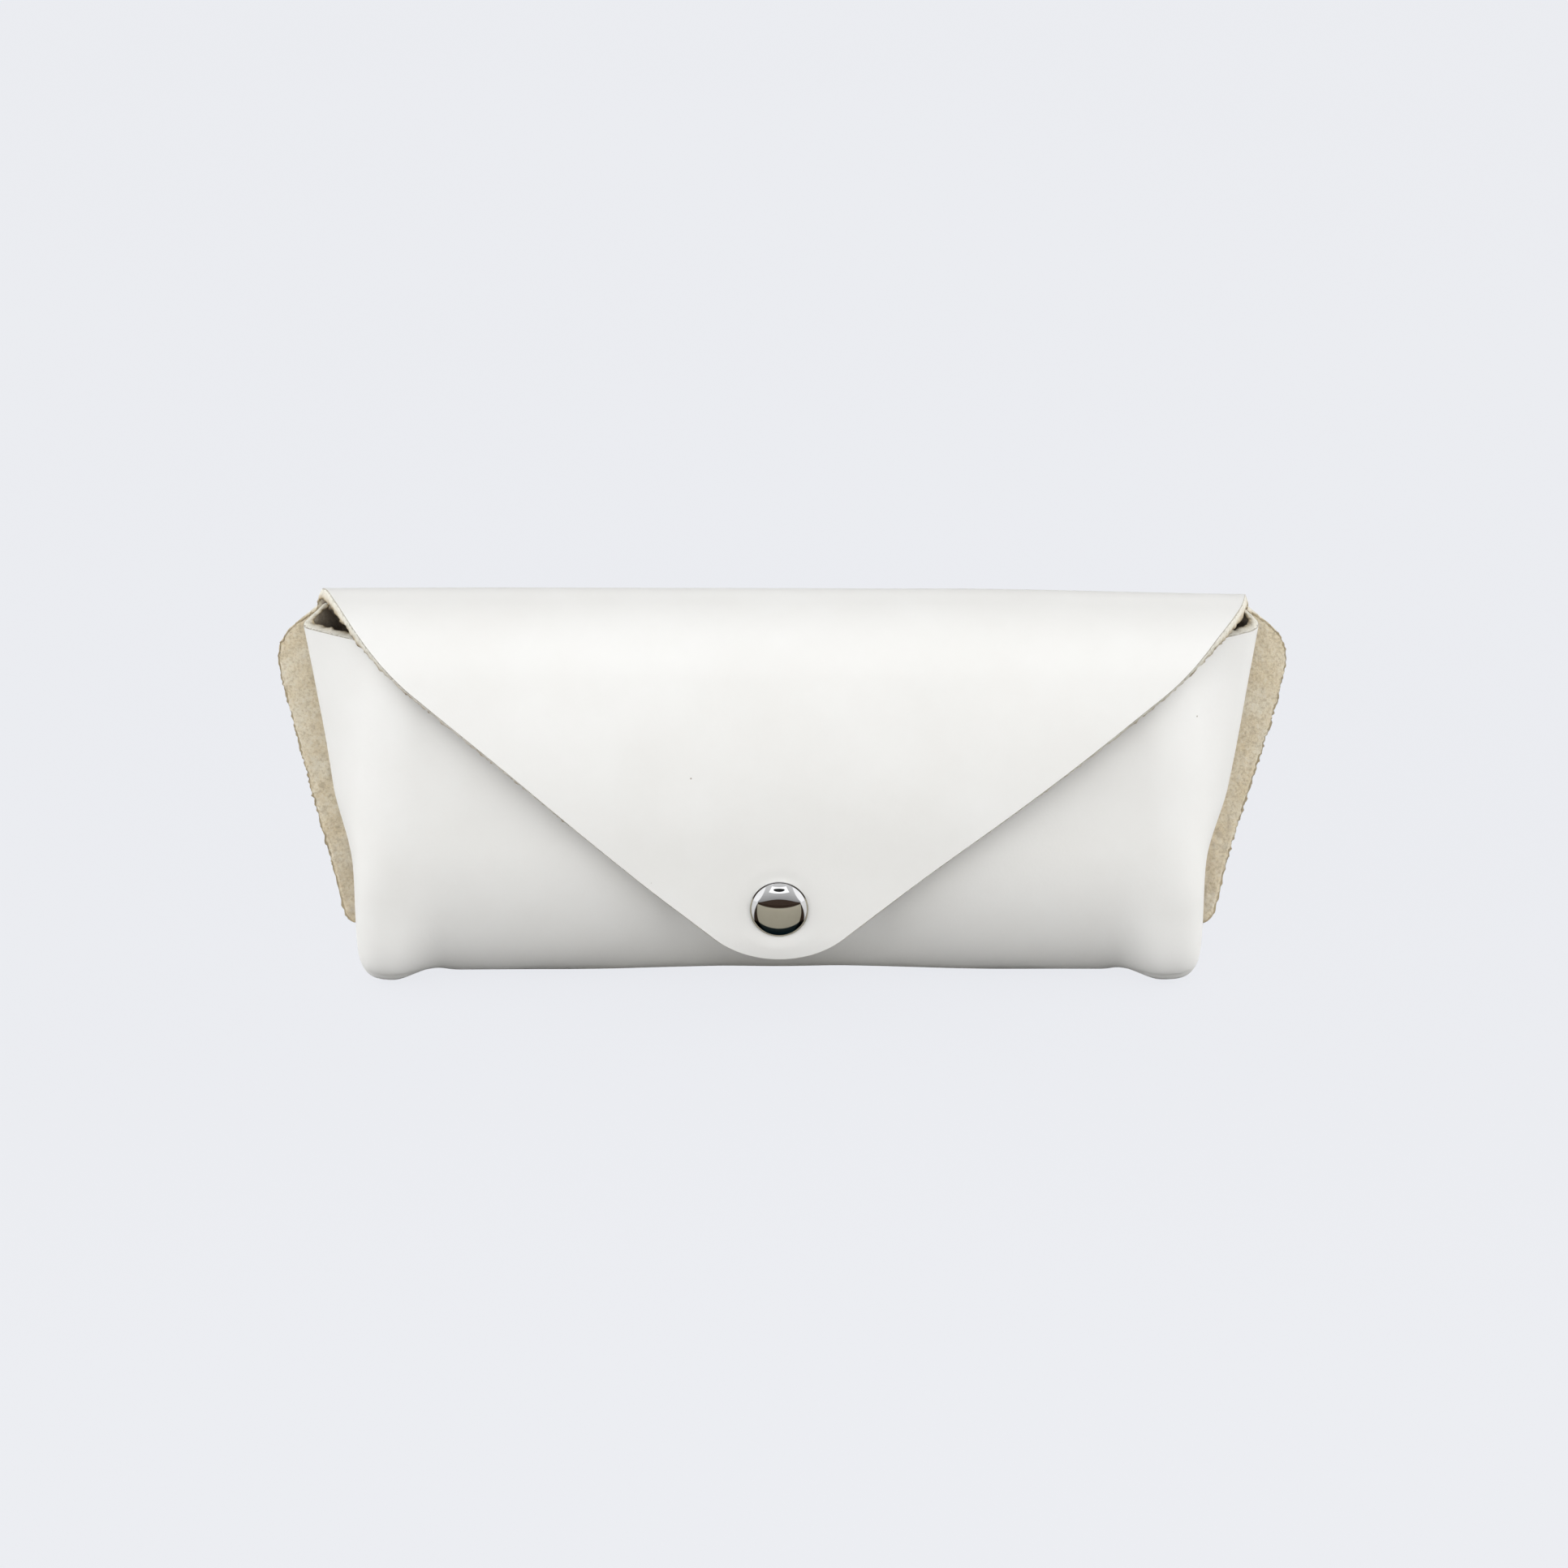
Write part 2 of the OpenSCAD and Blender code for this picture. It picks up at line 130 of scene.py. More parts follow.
def flap_profile(s):
    """Middle surface of the back and the flap at lengths s from the fold's start, as rows of (y, z)."""
    s = np.asarray(s, float)
    stretch = [s < 0, s < S_CROWN, s < S_FRONT_ARC, s < S_DRAPE, s < S_STRAIGHT]
    tau = np.select(
        stretch,
        [0 * s, s / BACK_ARC_R, TAU_CROWN + 0 * s, TAU_CROWN + (s - S_FRONT_ARC) / FRONT_ARC_R,
         TAU_DRAPE + (s - S_DRAPE) / DRAPE_R],
        TAU_DOWN,
    )
    outer = np.select(
        [inside[:, None] for inside in stretch],
        [
            np.array([BACK_Y, FOLD_Z]) + s[:, None] * [0, 1],
            BACK_ARC_C + BACK_ARC_R * ray(tau),
            CROWN_START + (s[:, None] - S_CROWN) * ahead(tau),
            FRONT_ARC_C + FRONT_ARC_R * ray(tau),
            DRAPE_C + DRAPE_R * ray(tau),
        ],
        DRAPE_END + (S_STRAIGHT - s[:, None]) * [0, 1],
    )
    return outer - HALF * ray(tau)


# Outline of the back and the flap: _W values are halves of the width, _S values lengths along the sheet
FLAP_HALF = 79.7                              # along the fold
SHOULDER_R = 46.0
TIP_R = 17.9
EDGE_ANGLE = math.radians(50.7)               # of the straight edges, from the middle line
TIP_C = FLAP_LENGTH - TIP_R
EDGE_S = TIP_C + TIP_R * math.sin(EDGE_ANGLE)
EDGE_W = TIP_R * math.cos(EDGE_ANGLE)
SHOULDER_END_W = FLAP_HALF - SHOULDER_R * (1 - math.cos(EDGE_ANGLE))
SHOULDER_END_S = EDGE_S - (SHOULDER_END_W - EDGE_W) / math.tan(EDGE_ANGLE)
SHOULDER_S = SHOULDER_END_S - SHOULDER_R * math.sin(EDGE_ANGLE)
WING_WIDEST_S = -4.2                          # where the wings are widest
WING_END_S = 6.0                              # where a wing meets the flap's side
WING_TAPER = 0.25                             # narrowing of the wings per millimetre of height
WING_EASE = 5.0                               # length over which the narrowing sets in


def sheet_half(s):
    """Half of the sheet's width at lengths s: wings, flap shoulders, straight edges and round tip."""
    s = np.asarray(s, float)
    below = np.maximum(0, WING_WIDEST_S - s)
    taper = WING_HALF - WING_TAPER * below ** 2 / (below + WING_EASE)
    rise = np.clip((s - WING_WIDEST_S) / (WING_END_S - WING_WIDEST_S), 0, 1)
    wing = FLAP_HALF + (WING_HALF - FLAP_HALF) * (1 - rise ** 2) ** 1.5
    shoulder = FLAP_HALF - SHOULDER_R + np.sqrt(np.maximum(0, SHOULDER_R ** 2 - (s - SHOULDER_S) ** 2))
    edge = EDGE_W + (EDGE_S - s) * math.tan(EDGE_ANGLE)
    tip = np.sqrt(np.maximum(0, TIP_R ** 2 - (s - TIP_C) ** 2))
    return np.select(
        [s < WING_WIDEST_S, s < WING_END_S, s < SHOULDER_S, s < SHOULDER_END_S, s < EDGE_S],
        [taper, wing, FLAP_HALF + 0 * s, shoulder, edge],
        tip,
    )


# Lengths at which the fold is cut into pieces: one fold line lies between each two
FOLD_CUTS = np.concatenate([
    BACK_ARC_R * np.radians([0, 25, 50, 75]),
    [S_CROWN + CROWN / 2],
    S_FRONT_ARC + FRONT_ARC_R * (np.radians([120, 140, 160]) - TAU_CROWN),
])
ROW_STEP = 0.28
TIP_ROWS = 72


def sheet_rows():
    """Lengths of the sheet's rows from the roll to the tip, with a row on each cut."""
    stops = [ROLL_Z - FOLD_Z, *FOLD_CUTS, EDGE_S]
    rows = [np.array(stops[:1])]
    for start, end in zip(stops, stops[1:]):
        rows.append(np.linspace(start, end, int((end - start) / ROW_STEP) + 2)[1:])
    turn = np.linspace(EDGE_ANGLE, math.pi / 2, TIP_ROWS)[1:]
    rows.append(TIP_C + TIP_R * np.sin(turn))
    return np.concatenate(rows)


SHEET_ROWS = sheet_rows()


# ---- noise ----

def noise(points, size, seed=0):
    """Smooth noise from -1 to 1 at points, with lumps of about the given size."""
    scaled = points / size + seed * 7.31
    base = np.floor(scaled).astype(np.int64)
    share = scaled - base
    share = share * share * (3 - 2 * share)
    total = np.zeros(len(points))
    for corner in np.ndindex(2, 2, 2):
        cell = base + np.array(corner)
        value = cell @ np.array([374761393, 668265263, 1442695041]) + seed * 97531
        value = (value ^ (value >> 13)) * 1274126177
        value = (value ^ (value >> 16)) & 0xFFFFFF
        weight = np.prod(np.where(corner, share, 1 - share), axis=1)
        total += weight * (value / 0xFFFFFF * 2 - 1)
    return total


def smooth(x):
    """0 below 0, 1 above 1, smooth between."""
    x = np.clip(x, 0, 1)
    return x * x * (3 - 2 * x)


# ---- leather sheet ----

# Cut edge from the grain to the flesh side: height across the thickness, and how far it stands out
RIM = [(0.47, 0.05), (0.36, 0.16), (0.2, 0.27), (0.02, 0.36), (-0.16, 0.43), (-0.32, 0.46), (-0.44, 0.42)]
RIM_ROUGH = [0.01, 0.03, 0.07, 0.12, 0.18, 0.24, 0.3]   # raggedness at those heights
FLESH_OUT = 0.28                              # how far the flesh side stands out at the cut edge
FLESH_ROUGH = 0.2                             # raggedness there
NAP = 0.11                                    # height of the suede's nap
CAP_DIMPLE = 0.22                             # how deep the cap presses into the leather
RIVET_DIMPLE = 0.15
WAVE = 0.42                                   # height of the slow waves in the sheet
RIPPLE = 0.16                                 # and of the shorter ones
SWELL = 0.25                                  # how far they lift the sheet
BELLY_Z = 27.0                                # below this height the pouch narrows down to the roll
BELLY_POWER = 1.8                             # 2 is an ellipse, less is more like a keel
BELLY_DROP = BELLY_Z - ROLL_Z + MID_R         # height over which it narrows
FOOT_BELLY = 0.3                              # share of the narrowing that is left at the feet
SAG = 2.0                                     # how far the roll sags between the feet
SNAP_ARCH = 0.38                              # share of the sag that the snap holds up
SKEW = 1.5                                    # how far the flap is pulled to the right
BACK_SKEW = 0.35                              # share of that pull at the back and the pouch
HANG = 0.9                                    # how far the fold's right end hangs
TUCK = 0.03                                   # curl of the flap's tip towards the back, per millimetre


def belly(z):
    """Depth of the soft pouch at height z, as a share of the straight-sided one's on its round roll."""
    fall = np.clip((BELLY_Z - z) / BELLY_DROP, 0, 0.9995)
    roll_fall = 1 - (1 - fall) * BELLY_DROP / MID_R
    return (1 - fall ** BELLY_POWER) ** (1 / BELLY_POWER) / np.sqrt(1 - np.maximum(0, roll_fall) ** 2)


def relax(points, loose):
    """Moves points of the middle surface a little, so that the leather looks soft and made by hand.

    loose is True for the fold and the flap, False for the pouch.
    """
    x, y, z = points.T
    snap_distance = np.hypot(x, z - SNAP_Z)
    rivet_distance = np.hypot(np.abs(x) - RIVET_X, z - RIVET_Z)
    calm = smooth((snap_distance - 8) / 14) * smooth((rivet_distance - 4) / 8)
    moved = points.copy()
    moved[:, 1] += calm * (WAVE * noise(points, 38, 11) + RIPPLE * noise(points, 15, 12))
    moved[:, 2] += calm * SWELL * noise(points, 44, 13) * smooth((z - 8) / 30)
    skew = SKEW * smooth((z - 20) / 26)
    if loose:
        moved[:, 0] += skew * (BACK_SKEW + (1 - BACK_SKEW) * smooth((BACK_Y - 2 - y) / 13))
        moved[:, 1] += TUCK * np.maximum(0, SNAP_Z - 4.5 - z) ** 2
        moved[:, 2] -= HANG * smooth((x - 20) / 58) * smooth((z - 62) / 5.5)
    else:
        between_feet = 1 - smooth((np.abs(x) - 56) / 9)
        off_snap = np.where(y < ROLL_Y, smooth((snap_distance - 7) / 12), 1)
        arch = 1 - SNAP_ARCH * (1 - smooth((np.abs(x) - 5) / 35))
        narrow = (belly(z) - 1) * (FOOT_BELLY + (1 - FOOT_BELLY) * between_feet) * off_snap
        moved[:, 0] += BACK_SKEW * skew
        moved[:, 1] += (y - ROLL_Y) * narrow
        moved[:, 2] -= SAG * np.maximum(0, BELLY_Z - z) / BELLY_DROP * between_feet * arch
    return moved


def dimple(points):
    """How deep the cap and the rivet heads press into the grain side."""
    x, y, z = points.T
    cap = smooth((CAP_R + 2.6 - np.hypot(x, z - SNAP_Z)) / 2.8)
    rivet = smooth((RIVET_R + 1.8 - np.hypot(np.abs(x) - RIVET_X, z - RIVET_Z)) / 2)
    return CAP_DIMPLE * cap * (y < ROLL_Y) + RIVET_DIMPLE * rivet * (y > ROLL_Y)


def weld(points, quads):
    """Joins points at one place and drops flat quads. Returns points, quads and marks of the quads kept."""
    _, first, inverse = np.unique(np.round(points, 3), axis=0, return_index=True, return_inverse=True)
    quads = inverse.reshape(-1)[quads]
    real = (np.diff(np.sort(quads, axis=1), axis=1) != 0).sum(axis=1) >= 2
    return points[first], quads[real], real


class Sheet:
    """Patches of a middle surface. Seen from the grain side, rows run up and columns run to the right."""

    def __init__(self, loose=False):
        self.loose = loose
        self.points = []
        self.quads = []
        self.kept = []
        self.size = 0

    def patch(self, grid, flip=False, before=0, after=0):
        """Adds a grid. Its first and last rows, as many as before and after say, only steer normals."""
        rows, columns = grid.shape[:2]
        index = np.arange(rows * columns).reshape(rows, columns) + self.size
        quad = [index[:-1, :-1], index[:-1, 1:], index[1:, 1:], index[1:, :-1]]
        if flip:
            quad.reverse()
        kept = np.ones((rows - 1, columns - 1), bool)
        kept[:before] = False
        kept[rows - 1 - after:] = False
        self.quads.append(np.stack([q.ravel() for q in quad], axis=1))
        self.kept.append(kept.ravel())
        self.points.append(grid.reshape(-1, 3))
        self.size += rows * columns

    def middle(self):
        """The middle surface: points as drawn and as moved, normals, quads, marks of points on a cut."""
        rest, quads, real = weld(np.concatenate(self.points), np.concatenate(self.quads))
        kept = np.concatenate(self.kept)[real]
        points = relax(rest, self.loose)
        diagonal = points[quads[:, 2]] - points[quads[:, 0]]
        face_normal = np.cross(diagonal, points[quads[:, 3]] - points[quads[:, 1]])
        normal = np.zeros(points.shape)
        for corner in range(4):
            np.add.at(normal, quads[:, corner], face_normal)
        normal /= np.linalg.norm(normal, axis=1, keepdims=True) + 1e-12
        joined = np.zeros(len(points), bool)
        joined[quads[~kept]] = True
        used, compact = np.unique(quads[kept], return_inverse=True)
        return rest[used], points[used], normal[used], compact.reshape(-1, 4), joined[used]

    def mesh(self, name):
        """The thick sheet as an object."""
        rest, points, normal, quads, joined = self.middle()
        count = len(points)
        edges = np.concatenate([quads[:, [k, (k + 1) % 4]] for k in range(4)])
        edges = edges[edges[:, 0] != edges[:, 1]]
        forward = edges[:, 0] * count + edges[:, 1]
        backward = edges[:, 1] * count + edges[:, 0]
        border = edges[~np.isin(forward, backward)]

        out = np.zeros((count, 3))
        side = np.cross(points[border[:, 1]] - points[border[:, 0]], normal[border[:, 0]])
        side /= np.linalg.norm(side, axis=1, keepdims=True) + 1e-12
        side[joined[border].all(axis=1)] = 0
        for corner in range(2):
            np.add.at(out, border[:, corner], side)
        out /= np.linalg.norm(out, axis=1, keepdims=True) + 1e-12
        rim_ids = np.unique(border)
        cut = np.linalg.norm(out[rim_ids], axis=1)

        edge = np.zeros(count)
        edge[rim_ids] = cut
        nap = NAP * (noise(rest, 1.5, 3) + 0.6 * noise(rest, 0.7, 4))
        ragged = FLESH_OUT + FLESH_ROUGH * (noise(rest, 0.55, 5) + 0.6 * noise(rest, 0.3, 6))
        grain = points + normal * (HALF - dimple(rest))[:, None]
        flesh = points - normal * (HALF + nap - 0.2 * edge)[:, None] + out * (ragged * edge)[:, None]
        layers = [grain, flesh]
        depth = [np.zeros(count), np.ones(count)]
        for (height, reach), rough in zip(RIM, RIM_ROUGH):
            at = rest[rim_ids] + normal[rim_ids] * (height * SHEET)
            bulge = (reach + rough * (noise(at, 0.55, 7) + 0.6 * noise(at, 0.3, 8))) * cut
            ring = points[rim_ids] + normal[rim_ids] * (height * SHEET)
            layers.append(ring + out[rim_ids] * bulge[:, None])
            depth.append(np.full(len(rim_ids), 0.5 - height))

        place = np.full(count, -1)
        place[rim_ids] = np.arange(len(rim_ids))
        rings = [border]
        for k in range(len(RIM)):
            rings.append(2 * count + k * len(rim_ids) + place[border])
        rings.append(border + count)
        faces = [quads, quads[:, ::-1] + count]
        for upper, lower in zip(rings, rings[1:]):
            faces.append(np.stack([upper[:, 1], upper[:, 0], lower[:, 0], lower[:, 1]], axis=1))
        kinds = [np.zeros(len(quads)), np.ones(len(quads)), np.full(len(border) * (len(RIM) + 1), 2)]
        obj = make_object(name, np.concatenate(layers), np.concatenate(faces), np.concatenate(kinds),
                          np.concatenate(depth), np.concatenate([border, border + count]))
        self.steer_normals(obj.data, normal, joined)
        return obj

    def steer_normals(self, mesh, normal, joined):
        """Gives the grain side, where it is cut to join, the normals of the whole sheet."""
        count = len(joined)
        vertex = np.zeros(len(mesh.loops), np.int64)
        mesh.loops.foreach_get("vertex_index", vertex)
        kind = np.zeros(len(mesh.polygons), np.int64)
        mesh.polygons.foreach_get("material_index", kind)
        corners = np.zeros(len(mesh.polygons), np.int64)
        mesh.polygons.foreach_get("loop_total", corners)
        on_grain = np.repeat(kind == 0, corners)
        wanted = np.zeros((len(vertex), 3))
        steered = on_grain & joined[np.minimum(vertex, count - 1)]
        wanted[steered] = normal[vertex[steered]]
        if steered.any():
            mesh.normals_split_custom_set(wanted.tolist())


def make_object(name, points, faces, kinds=None, depth=None, sharp=None):
    """A smooth-shaded object from points in millimetres. Quads may repeat a corner to be triangles."""
    mesh = bpy.data.meshes.new(name)
    polygons = []
    for face in faces.tolist():
        polygons.append([v for k, v in enumerate(face) if v != face[k - 1]])
    mesh.from_pydata((points * MM).tolist(), [], polygons)
    mesh.polygons.foreach_set("use_smooth", np.ones(len(mesh.polygons), bool))
    if kinds is not None:
        mesh.polygons.foreach_set("material_index", kinds.astype(np.int32))
    if depth is not None:
        layer = mesh.attributes.new("depth", "FLOAT", "POINT")
        layer.data.foreach_set("value", depth.astype(np.float32))
    if sharp is not None:
        count = len(points)
        ends = np.zeros(len(mesh.edges) * 2, np.int64)
        mesh.edges.foreach_get("vertices", ends)
        ends = np.sort(ends.reshape(-1, 2), axis=1)
        wanted = np.sort(sharp, axis=1)
        is_sharp = np.isin(ends[:, 0] * count + ends[:, 1], wanted[:, 0] * count + wanted[:, 1])
        layer = mesh.attributes.new("sharp_edge", "BOOLEAN", "EDGE")
        layer.data.foreach_set("value", is_sharp)
    mesh.update()
    obj = bpy.data.objects.new(name, mesh)
    bpy.context.scene.collection.objects.link(obj)
    return obj


def steps(start, end, step, fine=0.0, fine_step=0.35):
    """Values from start to end, a step apart, with closer ones in the last stretch of length fine."""
    sign = 1 if end > start else -1
    turn = end - sign * fine
    coarse = np.linspace(start, turn, max(2, int(abs(turn - start) / step) + 1))
    if fine == 0:
        return coarse
    close = np.linspace(turn, end, int(fine / fine_step) + 1)
    return np.concatenate([coarse, close[1:]])


# ---- pouch: back, roll, front and ears ----

PLAIN_HALF = 58.0                             # half of the width of the plain middle
CORNER_X = 65.0                               # where the closed corners start to round
CORNER_END = END_HALF - HALF + 0.9            # and where they end
# Superellipses of a closed corner and its foot: 2 is an ellipse, more is boxier
CORNER_POWER = 3.0                            # seen from above
FOOT_POWER = 6.0                              # seen from the front
FOOT_FRONT_POWER = 2.5                        # seen from the side, in front of the roll's middle
FOOT_FULL_X = {-1: 67.5, 1: 66.0}             # where the left and the right foot are deepest
FOOT_FORWARD = 3.2                            # how far a foot reaches forward
FOOT_DROP = wrap_high[2] - MID_R - HALF - wrap_low[2]
MOUTH_RISE = 1.5                              # how much the mouth's edge rises towards an ear
EAR_TOP = 64.4                                # height of an ear's top edge at the back
EAR_RISE_Y = -4.0                             # where that edge starts to rise towards the back
CREASE_TOP = 82.2                             # outer face of the ears' hairpin fold at the mouth
CREASE_LOW = END_HALF + 2.1                   # and at the roll
CREASE_R = {-1: 2.0, 1: 3.4}                  # radius of that fold at the mouth, left and right
CREASE_LOW_R = 6.0                            # and at the roll
EAR_SETTLED = 0.4                             # level from which an ear has its own shape
TAB_END = 66.0                                # where an ear's tab ends on the back
TAB_GAP = 0.02                                # between a tab and the back
FLESH_Y = BACK_Y - SHEET                      # inner face of the back
FRONT_TAU = 2 * math.atan(FRONT_LEAN / (MOUTH_Z - ROLL_Z))
FRONT_R = (MOUTH_Z - ROLL_Z) / math.sin(FRONT_TAU)

ROLL_ROWS = 76                                # rows round the roll, from the front to the back
PLAIN_COLUMNS = 16                            # columns from PLAIN_HALF to CORNER_X
END_COLUMNS = 84                              # columns from CORNER_X to the end of a corner
WING_COLUMNS = 56
WING_LOW_TURN = math.radians(64)              # how far a wing goes down beside the roll
WING_LOW_FLAT = 0.38                          # share of the roll's curve that it doesn't follow there


def front_profile(z):
    """Depth of the front panel's middle surface at height z."""
    return FRONT_Y + FRONT_R - (FRONT_R - HALF) * np.sqrt(1 - ((z - ROLL_Z) / FRONT_R) ** 2)


def by_length(path, count):
    """Points of a polyline resampled to equal spacing."""
    length = np.concatenate([[0], np.cumsum(np.linalg.norm(np.diff(path, axis=0), axis=1))])
    at = np.linspace(0, length[-1], count)
    return np.stack([np.interp(at, length, path[:, k]) for k in range(path.shape[1])], axis=1)


def fillet(before, corner, after, radius, count=24):
    """Points of the arc that rounds a corner."""
    u = (before - corner) / np.linalg.norm(before - corner)
    v = (after - corner) / np.linalg.norm(after - corner)
    half = math.acos(np.clip(u @ v, -1, 1)) / 2
    reach = radius / math.tan(half)
    middle = corner + (u + v) / np.linalg.norm(u + v) * radius / math.sin(half)
    start = corner + u * reach - middle
    sweep = math.pi - 2 * half
    turn = math.copysign(sweep, start[0] * (corner + v * reach - middle)[1]
                         - start[1] * (corner + v * reach - middle)[0])
    angle = np.linspace(0, turn, count)[:, None]
    across = np.array([-start[1], start[0]])
    return middle + np.cos(angle) * start + np.sin(angle) * across


def corner_profile():
    """Section of a closed corner from the plain roll to its end: x, and share of the roll's radius."""
    turn = np.linspace(0, math.pi / 2, 400)
    share = np.cos(turn) ** (2 / CORNER_POWER)
    x = CORNER_X + (CORNER_END - CORNER_X) * np.sin(turn) ** (2 / CORNER_POWER)
    curve = by_length(np.stack([x, share * MID_R], axis=1), END_COLUMNS + 1)
    plain = np.linspace([PLAIN_HALF, MID_R], [CORNER_X, MID_R], PLAIN_COLUMNS + 1)
    path = np.concatenate([plain, curve[1:]])
    return path[:, 0], path[:, 1] / MID_R


corner_x, corner_share = corner_profile()


def foot_drop(x, low, side):
    """How far a corner's moulded foot hangs below the roll. low is 0 beside the roll and 1 under it."""
    return FOOT_DROP * smooth((x - PLAIN_HALF) / (FOOT_FULL_X[side] - PLAIN_HALF)) * low ** 1.5


def ear_path(level, side):
    """Middle line of the front's side and the ear, from above, at a level from 0 (roll) to 1 (mouth)."""
    y = front_profile(ROLL_Z + level * (MOUTH_Z - ROLL_Z))
    start = np.array([PLAIN_HALF, y])
    turn = np.array([70.5 - 5.5 * level, y])
    crease = np.array([CREASE_LOW + (CREASE_TOP - CREASE_LOW) * level - HALF, ROLL_Y + 0.8 * level])
    tab = np.array([crease[0] - 2.6 - 1.2 * level, FLESH_Y - HALF - TAB_GAP])
    tab_end = np.array([TAB_END, tab[1]])
    fold_r = CREASE_R[side] * level + CREASE_LOW_R * (1 - level)
    front = np.concatenate([[start], fillet(start, turn, crease, 9 + 5 * level)])
    fold = fillet(turn, crease, tab, fold_r)
    middle = len(fold) // 2
    outer = np.concatenate([front, fold[:middle + 1]])
    inner = np.concatenate([fold[middle:], fillet(crease, tab, tab_end, 2.0), [tab_end]])
    return np.concatenate([
        by_length(outer, PLAIN_COLUMNS + END_COLUMNS + 1),
        by_length(inner, END_COLUMNS + 1)[1:],
    ])


def ear_top(x, y):
    """Height of the mouth's edge along an ear: it rises outwards, and again towards the back."""
    outwards = smooth((x - PLAIN_HALF) / 14)
    backwards = smooth((y - EAR_RISE_Y) / (FLESH_Y - EAR_RISE_Y))
    return MOUTH_Z + MOUTH_RISE * outwards + (EAR_TOP - MOUTH_Z - MOUTH_RISE) * backwards


def under_fold(y, z):
    """Keeps an ear's tab in front of the back, which curves forward above FOLD_Z."""
    room = np.sqrt(np.maximum(0, (BACK_ARC_R - SHEET) ** 2 - np.maximum(0, z - FOLD_Z) ** 2))
    return np.minimum(y, BACK_ARC_C[0] + room - HALF - TAB_GAP)


def ear_bottom():
    """The ear's middle line at the roll: round the closed corner and on to the back."""
    outer = np.stack([corner_x, ROLL_Y - MID_R * corner_share], axis=1)
    inner = np.stack([corner_x, ROLL_Y + MID_R * corner_share], axis=1)[::-1]
    return np.concatenate([outer, inner[1:END_COLUMNS + 1]])


def plain_patches(sheet, front_z, roll_phi, back_s):
    """The plain middle of the front, the roll and the back."""
    plain_x = steps(-PLAIN_HALF, PLAIN_HALF, 0.5)
    front_yz = np.stack([front_profile(front_z), front_z], axis=1)
    roll_yz = np.stack([ROLL_Y + MID_R * np.cos(roll_phi), ROLL_Z - MID_R * np.sin(roll_phi)], axis=1)
    for yz, flip, after in ((front_yz, False, 0), (roll_yz, True, 0), (flap_profile(back_s), True, 1)):
        grid = np.zeros((len(yz), len(plain_x), 3))
        grid[..., 0] = plain_x
        grid[..., 1:] = yz[:, None]
        sheet.patch(grid, flip, after=after)


def ear_patch(sheet, levels, side):
    """The front's side, the ear and its tab."""
    bottom = ear_bottom()
    front_share = np.clip((ROLL_Y - bottom[:, 1]) / MID_R, 0, 1)
    grid = np.zeros((len(levels), len(bottom), 3))
    for row, level in enumerate(levels):
        z = ROLL_Z + level * (MOUTH_Z - ROLL_Z)
        lean = (front_profile(z) - front_profile(ROLL_Z)) * front_share
        low_line = bottom + np.stack([0 * lean, lean], axis=1)
        line = low_line + (ear_path(level, side) - low_line) * smooth(level / EAR_SETTLED)
        x, y = line.T
        grid[row, :, 0] = side * x
        grid[row, :, 2] = ROLL_Z + level * (ear_top(x, y) - ROLL_Z)
        grid[row, :, 1] = under_fold(y, grid[row, :, 2])
    sheet.patch(grid, flip=side < 0)


def corner_patch(sheet, roll_phi, side):
    """A closed corner of the roll with its foot, which is boxier in front than at the back."""
    grid = np.zeros((len(roll_phi), len(corner_x), 3))
    cos = np.cos(roll_phi)[:, None]
    sin = np.abs(np.sin(roll_phi))[:, None]
    foot = smooth((corner_x - PLAIN_HALF) / 9)
    power = np.where(cos < 0, 2 + (FOOT_FRONT_POWER - 2) * foot, 2)
    to_end = np.clip((corner_x - CORNER_X) / (CORNER_END - CORNER_X), 0, 1)
    low = sin ** (2 / power) * (1 - to_end ** FOOT_POWER) ** (1 / FOOT_POWER)
    forward = FOOT_FORWARD * foot * low ** 2 * smooth(-2 * cos)
    back = MID_R * np.sign(cos) * np.abs(cos) ** (2 / power)
    grid[..., 0] = side * corner_x
    grid[..., 1] = ROLL_Y + (back - forward) * corner_share
    grid[..., 2] = ROLL_Z - MID_R * low - foot_drop(corner_x, low, side)
    sheet.patch(grid, flip=side > 0)


def wing_patches(sheet, back_s, side):
    """The back's side with its wing, and the wing's lower end below the roll's centre.

    The lower end's inner corner is inset, so that it is hidden in the closed corner.
    """
    across = np.linspace(0, 1, WING_COLUMNS + 1) ** 0.7
    grid = np.zeros((len(back_s), PLAIN_COLUMNS + WING_COLUMNS + 1, 3))
    grid[:, :PLAIN_COLUMNS, 0] = side * corner_x[:PLAIN_COLUMNS]
    grid[:, PLAIN_COLUMNS:, 0] = side * (CORNER_X + (sheet_half(back_s)[:, None] - CORNER_X) * across)
    grid[..., 1:] = flap_profile(back_s)[:, None]
    sheet.patch(grid, flip=side > 0, after=1)

    fall = np.sin(np.linspace(0, math.pi / 2, 32))
    phi = fall[:, None] * WING_LOW_TURN
    # It narrows slowly, and closes at the very end
    edge = sheet_half(ROLL_Z - FOLD_Z) - 2.8 * fall - 7.5 * fall ** 12
    grid = np.zeros((len(fall), WING_COLUMNS + 1, 3))
    beyond = (edge[:, None] - CORNER_X) * across
    inset = (0.25 * smooth(fall * 6) + 0.8 * smooth(fall * 2 - 1))[:, None] * (1 - smooth(beyond / 3))
    bend = phi * (1 - WING_LOW_FLAT * smooth((beyond - 1) / 5))
    grid[..., 0] = side * (CORNER_X + beyond)
    grid[..., 1] = ROLL_Y + (MID_R - inset) * np.cos(bend)
    grid[..., 2] = ROLL_Z - (MID_R - inset) * np.sin(phi)
    sheet.patch(grid, flip=side < 0)


